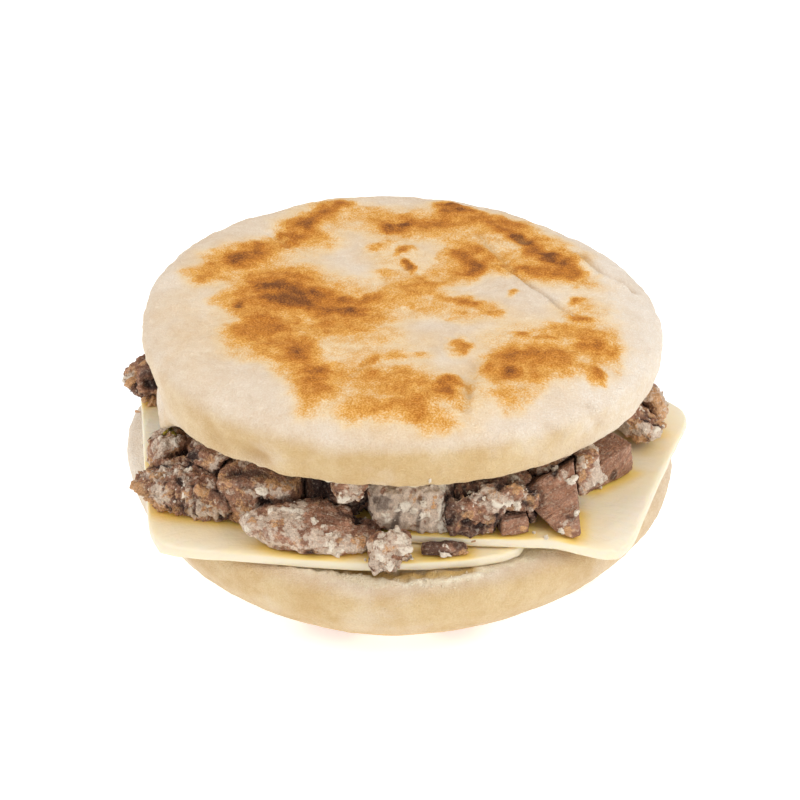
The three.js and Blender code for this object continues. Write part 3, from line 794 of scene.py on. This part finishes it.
def new_material(name, constants):
    """A material with its shader, whose even values are set on the shader itself."""
    material = bpy.data.materials.new(name)
    material.use_nodes = True
    wiring = Wiring(material.node_tree)
    shader = material.node_tree.nodes["Principled BSDF"]
    for label, value in constants.items():
        shader.inputs[label].default_value = value
    return material, wiring, shader


def finish(wiring, shader, colour, roughness, height, depth):
    """Gives a shader its colour, roughness and fine relief, with its depth in millimetres."""
    bump = wiring.add("ShaderNodeBump", {"Height": height, "Distance": depth * MM})
    wiring.feed(shader.inputs["Base Color"], colour)
    wiring.feed(shader.inputs["Roughness"], roughness)
    wiring.feed(shader.inputs["Normal"], bump.outputs[0])


def crust_material():
    material, wiring, shader = new_material("bread_crust", {"Specular IOR Level": 0.3})
    clouds = wiring.grain("crust clouds")
    mottle = wiring.grain("crust mottle")
    grain = wiring.grain("crust grain")
    side = wiring.tint(wiring.scaled(clouds, CRUST_CLOUDS), display_colour(*CREAM_CRUST), DEEP_CREAM)
    toast = wiring.stored("toast")
    mixed = wiring.total(grain, wiring.scaled(mottle, SPECKLE_MOTTLE))
    speckle = wiring.scaled(wiring.math("SUBTRACT", mixed, SPECKLE_LEVEL), SPECKLE_DEPTH)
    speckled = wiring.total(toast, wiring.scaled(speckle, wiring.ramp(toast, *SPECKLE_EDGE)))
    crust = wiring.mix(wiring.stored("side"), wiring.colour_ramp(speckled, TOAST_RAMP), side)
    untoasted = wiring.rest(wiring.ramp(toast, *TOASTED_EDGE))
    dust = wiring.raised(*DUST, mottle)
    # Flour and painted light whiten the untoasted crust
    floury = wiring.scaled(wiring.stored("flour"), wiring.scaled(untoasted, dust))
    dusted = wiring.tint(floury, crust, FLOUR)
    torn = wiring.tint(wiring.stored("crumb"), dusted, CRUMB)
    # Oil, and the cheese's painted shadow, under the cheese's edge
    oiled = wiring.tint(wiring.stored("oil"), torn, OIL)
    # Painted shade in the sunken creases and dents
    creased = wiring.tint(wiring.stored("groove"), oiled, GROOVE)
    coarse = wiring.scaled(wiring.total(mottle, clouds), COARSE_SHADE)
    shade = wiring.total(coarse, wiring.scaled(grain, FINE_SHADE))
    colour = wiring.mix(shade, creased, display_colour(*MOTTLE), "MULTIPLY")
    roughness = wiring.raised(*CRUST_ROUGHNESS, grain)
    finish(wiring, shader, colour, roughness, wiring.total(grain, mottle), CRUST_BUMP)
    return material


def cheese_material():
    material, wiring, shader = new_material("cheese", {
        "Subsurface Weight": 0.35,
        "Subsurface Radius": (1.0, 0.7, 0.25),
        "Subsurface Scale": CHEESE_GLOW_DEPTH * MM,
        "Specular IOR Level": 0.4,
    })
    clouds = wiring.grain("cheese clouds")
    grain = wiring.grain("cheese grain")
    streaks = wiring.drawn_out("streak", STREAK_EDGE)
    face = wiring.tint(wiring.scaled(clouds, CHEESE_CLOUDS), display_colour(*CHEESE_PALE), CHEESE_YELLOW)
    streaked = wiring.tint(wiring.scaled(streaks, CHEESE_STREAKS), face, CHEESE_YELLOW)
    # Oil and painted contact shade near the meat
    oily = wiring.tint(wiring.stored("contact"), streaked, CHEESE_OIL)
    # Painted shade on the steep cut edge
    colour = wiring.tint(wiring.stored("edge"), oily, CHEESE_EDGE)
    roughness = wiring.raised(*CHEESE_ROUGHNESS, grain)
    finish(wiring, shader, colour, roughness, wiring.total(grain, streaks), CHEESE_BUMP)
    return material


def meat_material():
    material, wiring, shader = new_material("cooked_meat", {"Specular IOR Level": 0.45})
    clouds = wiring.grain("meat clouds")
    grain = wiring.grain("meat grain")
    crumbs = wiring.grain("meat crumbs")
    grits = wiring.grain("meat grits")
    specks = wiring.group(SPECKS, MEAT_SPECKS)
    strands = wiring.drawn_out("strand", STRAND_EDGE)
    flesh = wiring.tint(clouds, display_colour(*MEAT_MAUVE), MEAT_BROWN)
    streaked = wiring.tint(wiring.scaled(strands, STRAND_SHADE), flesh, MEAT_DARK)
    tanned = wiring.tint(wiring.ragged(wiring.stored("tan"), grits), streaked, MEAT_TAN)
    fatty = wiring.tint(wiring.ragged(wiring.stored("fat"), crumbs), tanned, FAT_GREY)
    grainy = wiring.tint(wiring.scaled(grain, GRAIN_SHADE), fatty, MEAT_DARK)
    # Dark patches of the meat's own colour, with painted shade in valleys, gaps and hollows
    dark = wiring.stored("dark")
    shaded = wiring.tint(dark, grainy, MEAT_DARK)
    whitened = wiring.tint(wiring.ragged(wiring.stored("white"), grits), shaded, FAT_WHITE)
    colour = wiring.tint(wiring.scaled(specks, SPECK_WHITE), whitened, FAT_WHITE)
    roughness = wiring.raised(*MEAT_ROUGHNESS, wiring.total(grain, dark))
    finish(wiring, shader, colour, roughness, wiring.total(grain, strands), MEAT_BUMP)
    return material


def herb_material():
    material, wiring, shader = new_material("herb", {"Specular IOR Level": 0.3})
    grain = wiring.grain("herb grain")
    colour = wiring.tint(grain, display_colour(*HERB_DARK), HERB_BRIGHT)
    finish(wiring, shader, colour, HERB_ROUGHNESS, grain, HERB_BUMP)
    return material


# What the camera sees at a pixel of the image
def around(azimuth, elevation, distance):
    """A place round the camera's target, in metres, with the angles in degrees."""
    turn = math.radians(azimuth)
    rise = math.radians(elevation)
    back = Vector((math.sin(turn) * math.cos(rise), -math.cos(turn) * math.cos(rise), math.sin(rise)))
    return (Vector(CAMERA_TARGET) + distance * back) * MM


def seen_at(tree, x, y):
    """The place in metres, and the normal there, that shows at a pixel."""
    eye = around(0, CAMERA_ELEVATION, CAMERA_DISTANCE)
    forward = (Vector(CAMERA_TARGET) * MM - eye).normalized()
    right = Vector((1, 0, 0))
    up = right.cross(forward)
    focal = CAMERA_LENS / SENSOR * IMAGE_SIDE
    middle = IMAGE_SIDE / 2
    line = forward + right * ((x - middle) / focal) + up * ((middle - y) / focal)
    place, normal, _, _ = tree.ray_cast(eye, line)
    return place, normal


def seen_path(tree, pixels):
    """The places that show at pixels, without those that miss, and their mean normal."""
    found = [seen_at(tree, x, y) for x, y in pixels]
    places = [np.array(place) / MM for place, _ in found if place]
    normal = sum((normal for place, normal in found if place), Vector())
    return places, np.array(normal.normalized())


# Bread
def bread_marks(points, tree):
    """Height of the creases, ridges and dents over the bread."""
    height = np.zeros(len(points))
    for pixels, half_width, rise in BREAD_MARKS:
        path, _ = seen_path(tree, pixels)
        away = distance_to_path(points, path) / half_width
        height += rise * np.exp(-away * away)
    return height


def toast_on_top(points):
    warp_x = swells(points, TOAST_WARP, TOAST_WARP_SIZE, seed=1)
    warp_y = swells(points, TOAST_WARP, TOAST_WARP_SIZE, seed=2)
    spots = [spot for area in TOAST_SPOTS.values() for spot in area]
    share = patch_share(points[:, 0] + warp_x, points[:, 1] + warp_y, spots)
    patchy = TOAST_GAIN + swells(points, TOAST_PATCHINESS, TOAST_PATCH_SIZE, seed=3)
    return np.clip(share * patchy, 0, 1)


def browner_front(normals):
    """Share of the rim's colour, which is fullest at the front and painted paler at the left and right as
    light from the side lamps.
    """
    return RIM_PALE + (1 - RIM_PALE) * smooth_step(0, 1, -normals[:, 1])


def upper_bread(material):
    mesh, points, normals = even_skin("bread_upper", UPPER_VOXEL, UPPER_SMOOTHING)
    toast = smooth_step(*UPPER_TOP, normals[:, 2]) * toast_on_top(points)
    cut = smooth_step(*UPPER_CUT, -normals[:, 2])
    marks = bread_marks(points, tree_of(["bread_upper"]))
    relief = swells(points, *UPPER_SWELLS, seed=4) + swells(points, *UPPER_PORES, seed=5)
    relief += marks + TOAST_SWELL * toast
    relief += cut * (swells(points, *CUT_PORES, seed=6) - CUT_SINK)
    dusty = UPPER_FLOUR * smooth_step(*UPPER_FLOUR_EDGE, fractal_field(points, FLOUR_SIZE, seed=7))
    # Painted light: the upper half turns whiter towards its right
    whiter = smooth_step(*WHITE_RIM, points[:, 0])
    # The rim is painted paler at the left and right as light from the side lamps
    side = browner_front(normals) * (1 - smooth_step(*UPPER_RIM, normals[:, 2]))
    store(mesh, toast=toast, crumb=cut, side=side, flour=np.clip(dusty + whiter, 0, 1))
    # Sunken marks take painted shade
    store(mesh, groove=np.clip(-marks * MARK_TINT, 0, 1))
    move_points(mesh, points + normals * relief[:, None])
    return make_piece("upper_bread", mesh, material, ["bread_upper"])


def oil_on_bread(points, normals, tree):
    """The oily line under the cheese's front edge, and a stain of the front close to the cheese, both also
    painted shadow of the cheese.
    """
    line, _ = seen_path(tree, OILY_LINE)
    oil = OILY_DEPTH * (1 - smooth_step(*OILY_EDGE, distance_to_path(points, line) / OILY_WIDTH))
    away = distance_to_tree(points, tree_of(CHEESE_SLICES))
    stain = CHEESE_STAIN * (1 - smooth_step(*CHEESE_STAIN_REACH, away))
    return np.maximum(oil, stain * smooth_step(0, 1, -normals[:, 1]))


def lower_bread(material):
    mesh, points, normals = even_skin("bread_lower", LOWER_VOXEL, LOWER_SMOOTHING)
    tree = tree_of(["bread_lower"])
    base = smooth_step(*LOWER_BASE, -normals[:, 2])
    ragged = swells(points, CRUMB_EDGE_RAG, CRUMB_EDGE_SIZE, seed=14)
    crumb = smooth_step(*CRUMB_EDGE, normals[:, 2] + ragged)
    # Full half way between crust and crumb, where the edge is broken
    broken = 4 * crumb * (1 - crumb)
    torn_line, _ = seen_path(tree, TORN_LINE)
    torn_off = distance_to_path(points, torn_line) + swells(points, TORN_RAG, TORN_RAG_SIZE, seed=15)
    torn = 1 - smooth_step(*TORN_EDGE, torn_off / TORN_WIDTH)
    relief = (swells(points, *LOWER_SWELLS, seed=8) + swells(points, *LOWER_PORES, seed=9)) * (1 - base)
    relief += crumb * swells(points, *CRUMB_PORES, seed=10) + CRUMB_EDGE_HEIGHT * broken
    relief += TORN_HEIGHT * torn
    spots = smooth_step(*UNDERSIDE_EDGE, fractal_field(points, UNDERSIDE_SIZE, 11, MANY_OCTAVES))
    dusty = LOWER_FLOUR * smooth_step(*LOWER_FLOUR_EDGE, fractal_field(points, FLOUR_SIZE, seed=12))
    # Painted light: the lower half turns whiter towards its left
    whiter = smooth_step(*WHITE_LEFT, -points[:, 0])
    # The rim is painted paler at the left and right as light from the side lamps
    store(mesh, toast=base * UNDERSIDE_BROWNING * spots, side=browner_front(normals) * (1 - base))
    store(mesh, flour=np.clip(dusty + whiter, 0, 1) * (1 - base), crumb=np.maximum(crumb, torn))
    store(mesh, oil=oil_on_bread(points, normals, tree))
    move_points(mesh, points + normals * relief[:, None])
    return make_piece("lower_bread", mesh, material, ["bread_lower"])


# Cheese
def cheese_slice(node, name, material, meat):
    mesh, points, normals = skin(node, [
        ("WELD", {"merge_threshold": WELD * MM}),
        ("SUBSURF", {"levels": CHEESE_LEVELS, "render_levels": CHEESE_LEVELS}),
    ])
    away = distance_to_tree(points, meat)
    # Oil and painted contact shade, strongest where the meat touches
    contact = sum(share * (1 - smooth_step(0, reach, away)) for share, reach in CONTACTS)
    # The steep cut edge takes painted shade
    store(mesh, contact=contact, edge=1 - smooth_step(*CUT_EDGE, np.abs(normals[:, 2])))
    store_places(mesh, "streak", points / STREAK_SIZE)
    relief = swells(points, *CHEESE_SWELLS, seed=13)
    move_points(mesh, points + normals * relief[:, None])
    return make_piece(name, mesh, material, [node])


# Meat
def find_touches(tree):
    """The touches as kind, line on the meat, normal there and radius."""
    lines = [(kind, [(x, y)], radius) for kind, spots in MEAT_SPOTS.items() for x, y, radius in spots]
    lines += [(kind, [(x, y), (far_x, far_y)], radius)
              for kind, strokes in MEAT_STROKES.items() for x, y, far_x, far_y, radius in strokes]
    touches = []
    for kind, pixels, radius in lines:
        path, normal = seen_path(tree, pixels)
        if path:
            touches.append((kind, path, normal, radius))
    return touches


def lay_touches(points, touches, seed):
    """The share of each kind of touch at each point, and how far the touches move the point."""
    shares = {kind: np.zeros(len(points)) for kind in TOUCH_LIFTS}
    moves = np.zeros(points.shape)
    ragged = swells(points, TOUCH_WARP, TOUCH_WARP_SIZE, seed)
    for kind, path, normal, radius in touches:
        away = (distance_to_path(points, path) + ragged * min(1, radius / TOUCH_WARP_RADIUS)) / radius
        share = 1 - smooth_step(TOUCH_CORE, TOUCH_EDGE, away)
        shares[kind] = np.maximum(shares[kind], share)
        moves += (TOUCH_LIFTS[kind] * radius * share)[:, None] * normal
    return shares, moves


def cloud_share(points, size, seed, share):
    """Ragged patches of this size over this share of the surface."""
    if not share:
        return np.zeros(len(points))
    cloud = fractal_field(points, size, seed, MANY_OCTAVES)
    edge = np.quantile(cloud, 1 - share)
    return smooth_step(edge - PATCH_SOFT, edge + PATCH_SOFT, cloud)


def meat_relief(points, direction, look, seed):
    """Lumps, torn ridges and strands, level on the whole."""
    turned = fibre_places(points, direction)
    strands = turned / [STRAND_LENGTH, look["width"], look["width"]]
    relief = swells(points, look["lump"], LUMP_SIZE, seed)
    relief += look["ridge"] * ridge_field(points, RIDGE_SIZE, seed + 1)
    relief += look["strand"] * ridge_field(strands, 1, seed + 2, FEW_OCTAVES)
    return relief - relief.mean(), strands


def meat_chunk(node, kind, direction, voxel, material, touches, seed):
    look = dict(zip(MEAT_TRAITS, MEAT_KINDS[kind]))
    mesh, points, normals = even_skin(node, voxel, MEAT_SMOOTHING)
    relief, strands = meat_relief(points, direction, look, seed)
    # Valleys of the relief take painted shade
    valley = 1 - smooth_step(*VALLEY, relief)
    others = [name for name in MEAT_NODES if name != node]
    # Painted shade where the piece lies close to another piece, which also clears its pale colours
    gap = 1 - smooth_step(*GAP_REACH, distance_to_tree(points, tree_of(others)))
    crumbs = smooth_step(*CRUMB_STEP, fractal_field(points, CRUMB_SIZE, seed + 3, FEW_OCTAVES))
    crumbs *= cloud_share(points, CRUMB_AREA, seed + 4, look["crumbs"])
    pale = smooth_step(*PALE_EDGE, fractal_field(points, PALE_SIZE, seed + 5))
    patches = {name: cloud_share(points, size, seed + 6, look[name]) for name, size in PATCH_SIZES.items()}
    shares, moves = lay_touches(points, touches, seed + 7)
    open_air = (1 - shares["dark"]) * (1 - GAP_CLEARS * gap) * (1 - BARE_CLEARS * shares["bare"])
    painted = np.maximum(shares["fat"], np.maximum(shares["tan"], shares["white"]))
    fat = (FAT_LEAST + FAT_GAIN * look["fat"]) * patches["fat"] * (1 - FAT_LOST_IN_VALLEYS * valley)
    fat = np.maximum(fat, TOUCHED_FAT * shares["fat"]) * (1 - FAT_LOST_UNDER_TAN * shares["tan"])
    tan = np.maximum(TAN_PATCHES * patches["tan"] + TAN_CRUMBS * crumbs * (1 - pale), shares["tan"])
    white = np.maximum(crumbs * pale * (1 - shares["tan"]), shares["white"])
    # Dark patches of the meat's own colour, with painted shade in valleys, gaps and shade touches
    deep = DARK_PATCHES * patches["dark"] * (1 - patches["fat"]) + look["valley"] * valley + DARK_GAPS * gap
    deep = np.maximum(deep * (1 - PAINT_CLEARS * painted), TOUCHED_SHADE * shares["shade"])
    store(mesh, fat=fat * open_air, tan=tan * open_air, white=white * open_air)
    store(mesh, dark=np.clip(np.maximum(deep, shares["dark"]), 0, 1))
    store_places(mesh, "strand", strands)
    height = relief + CRUMB_HEIGHT * crumbs - GAP_DEPTH * gap
    move_points(mesh, points + normals * height[:, None] + moves)
    return make_piece(node + "_look", mesh, material, [node])


def all_meat(material, touches):
    pieces = []
    for number, (node, (kind, fibres)) in enumerate(MEAT_PIECES.items()):
        seed = MEAT_SEED + SEEDS_FOR_A_PIECE * number
        pieces.append(meat_chunk(node, kind, fibres, MEAT_VOXEL, material, touches, seed))
    for number in range(BACK_COUNT):
        node = f"meat_chunk_back_{number + 1}"
        kind = BACK_KINDS[number % len(BACK_KINDS)]
        fibres = (math.sin(number), math.cos(number), BACK_FIBRE_RISE)
        seed = BACK_SEED + SEEDS_FOR_A_PIECE * number
        pieces.append(meat_chunk(node, kind, fibres, BACK_VOXEL, material, [], seed))
    pieces.append(meat_chunk("meat_heap", "heaped", HEAP_FIBRES, HEAP_VOXEL, material, [], HEAP_SEED))
    return pieces


# Loose bits
def nearest_seen(trees, x, y):
    """The place in millimetres, and the normal there, of whichever tree shows at a pixel."""
    eye = around(0, CAMERA_ELEVATION, CAMERA_DISTANCE)
    found = [seen_at(tree, x, y) for tree in trees]
    place, normal = min((hit for hit in found if hit[0]), key=lambda hit: (hit[0] - eye).length)
    return np.array(place) / MM, np.array(normal)


def ball(levels):
    """Corners and faces of a round grain."""
    shape = bmesh.new()
    bmesh.ops.create_icosphere(shape, subdivisions=levels, radius=1)
    corners = np.array([corner.co for corner in shape.verts])
    faces = np.array([[corner.index for corner in face.verts] for face in shape.faces])
    shape.free()
    return corners, faces


def grains_mesh(grains, levels, seed):
    """One mesh of rough grains, each given as place, long axis and three half lengths."""
    corners, faces = ball(levels)
    all_corners = []
    all_faces = []
    for number, (place, axis, lengths) in enumerate(grains):
        turn = np.array(Vector(axis).to_track_quat("X", "Z").to_matrix())
        rough = 1 + GRAIN_ROUGHNESS * fractal_field(corners, 1, seed + number, FEW_OCTAVES)
        all_corners.append((corners * rough[:, None] * lengths) @ turn.T + place)
        all_faces.append(faces + number * len(corners))
    mesh = bpy.data.meshes.new("grains")
    mesh.from_pydata(np.concatenate(all_corners) * MM, [], np.concatenate(all_faces).tolist())
    mesh.shade_smooth()
    return mesh


def placed_bits(trees, bits, draw):
    """Grains for bits at pixels, partly sunk in the piece that carries them."""
    grains = []
    for x, y, length, width, height in bits:
        place, normal = nearest_seen(trees, x, y)
        axis = np.cross(normal, draw.normal(size=3))
        grains.append((place + normal * height * BIT_RISE, axis, np.array([length, width, height])))
    return grains


def strewn_crumbs(pieces, count, draw):
    """Small crumbs strewn over the upper sides of pieces."""
    grains = []
    for piece in pieces:
        points = points_of(piece.data)
        up = normals_of(piece.data)
        open_points = np.flatnonzero(up[:, 2] > STREWN_LEAN)
        for corner in draw.choice(open_points, count):
            size = draw.uniform(*STREWN_SIZES)
            grains.append((points[corner], draw.normal(size=3), size * draw.uniform(*STREWN_SQUASH, 3)))
    return grains


def rim_bits(draw):
    """Bread crumbs along the torn line: pixels and half lengths."""
    line_x, line_y = zip(*TORN_LINE)
    rim_x = draw.uniform(line_x[0], line_x[-1], RIM_CRUMB_COUNT)
    rim_y = np.interp(rim_x, line_x, line_y) + draw.normal(0, RIM_CRUMB_SCATTER, RIM_CRUMB_COUNT)
    sizes = draw.uniform(*RIM_CRUMB_SIZES, (RIM_CRUMB_COUNT, 3))
    return [(x, y, *size) for x, y, size in zip(rim_x, rim_y, sizes)]


def loose_piece(name, grains, levels, mark, material):
    """One piece of loose grains that all carry a mark which the material reads."""
    mesh = grains_mesh(grains, levels, BIT_SEEDS[name])
    store(mesh, **{mark: np.ones(len(mesh.vertices))})
    make_piece(name, mesh, material)


def loose_bits(meat_pieces, all_pieces, meat_finish, crust_finish, herb_finish):
    draw = np.random.default_rng(SCATTER_SEED)
    graph = bpy.context.evaluated_depsgraph_get()
    trees = [BVHTree.FromObject(piece, graph) for piece in all_pieces]
    crumbly = [piece for piece in meat_pieces if piece.name.removesuffix("_look") in CRUMBLY_PIECES]
    crumbs = strewn_crumbs(crumbly, STREWN_COUNT, draw)
    loose_piece("fat_crumbs", crumbs, CRUMB_LEVELS, "white", meat_finish)
    chips = placed_bits(trees, FAT_CHIPS, draw)
    loose_piece("fat_chips", chips, BIT_LEVELS, "white", meat_finish)
    bits = placed_bits(trees, MEAT_BITS, draw)
    loose_piece("meat_bits", bits, BIT_LEVELS, "tan", meat_finish)
    bread_crumbs = placed_bits(trees, rim_bits(draw), draw)
    loose_piece("bread_crumbs", bread_crumbs, CRUMB_LEVELS, "crumb", crust_finish)
    herbs = grains_mesh(placed_bits(trees, HERB_BITS, draw), BIT_LEVELS, BIT_SEEDS["herb_bits"])
    make_piece("herb_bits", herbs, herb_finish)


# Stage
def aim(thing, place):
    thing.location = place
    thing.rotation_euler = (Vector(CAMERA_TARGET) * MM - place).to_track_quat("-Z", "Y").to_euler()
    bpy.context.scene.collection.objects.link(thing)


def make_camera():
    lens = bpy.data.cameras.new("camera")
    lens.lens = CAMERA_LENS
    lens.sensor_width = SENSOR
    camera = bpy.data.objects.new("camera", lens)
    aim(camera, around(0, CAMERA_ELEVATION, CAMERA_DISTANCE))
    bpy.context.scene.camera = camera


def make_lights():
    for name, (azimuth, elevation, distance, side, watts) in SOFT_BOXES.items():
        lamp = bpy.data.lights.new(name, "AREA")
        lamp.size = side * MM
        lamp.energy = watts
        aim(bpy.data.objects.new(name, lamp), around(azimuth, elevation, distance))
    sky = bpy.data.worlds.new("sky")
    sky.use_nodes = True
    background = sky.node_tree.nodes["Background"]
    background.inputs["Color"].default_value = (1, 1, 1, 1)
    background.inputs["Strength"].default_value = SKY_STRENGTH
    bpy.context.scene.world = sky


def make_floor():
    half = FLOOR_SIZE / 2 * MM
    mesh = bpy.data.meshes.new("floor")
    corners = [(-half, -half, 0), (half, -half, 0), (half, half, 0), (-half, half, 0)]
    mesh.from_pydata(corners, [], [(0, 1, 2, 3)])
    material, _, _ = new_material("floor", {
        "Base Color": FLOOR_COLOUR,
        "Roughness": 0.9,
        "Emission Color": FLOOR_GLOW_COLOUR,
        "Emission Strength": FLOOR_GLOW,
    })
    mesh.materials.append(material)
    floor = bpy.data.objects.new("floor", mesh)
    bpy.context.scene.collection.objects.link(floor)


# The whole scene
crust = crust_material()
cheese = cheese_material()
meat = meat_material()
meat_solids = tree_of(MEAT_NODES)
wrapping = [upper_bread(crust), lower_bread(crust)]
wrapping += [cheese_slice(node, name, cheese, meat_solids) for node, name in CHEESE_SLICES.items()]
filling = all_meat(meat, find_touches(meat_solids))
loose_bits(filling, wrapping + filling, meat, crust, herb_material())
make_floor()
make_lights()
make_camera()
bpy.context.scene.view_settings.view_transform = "Standard"
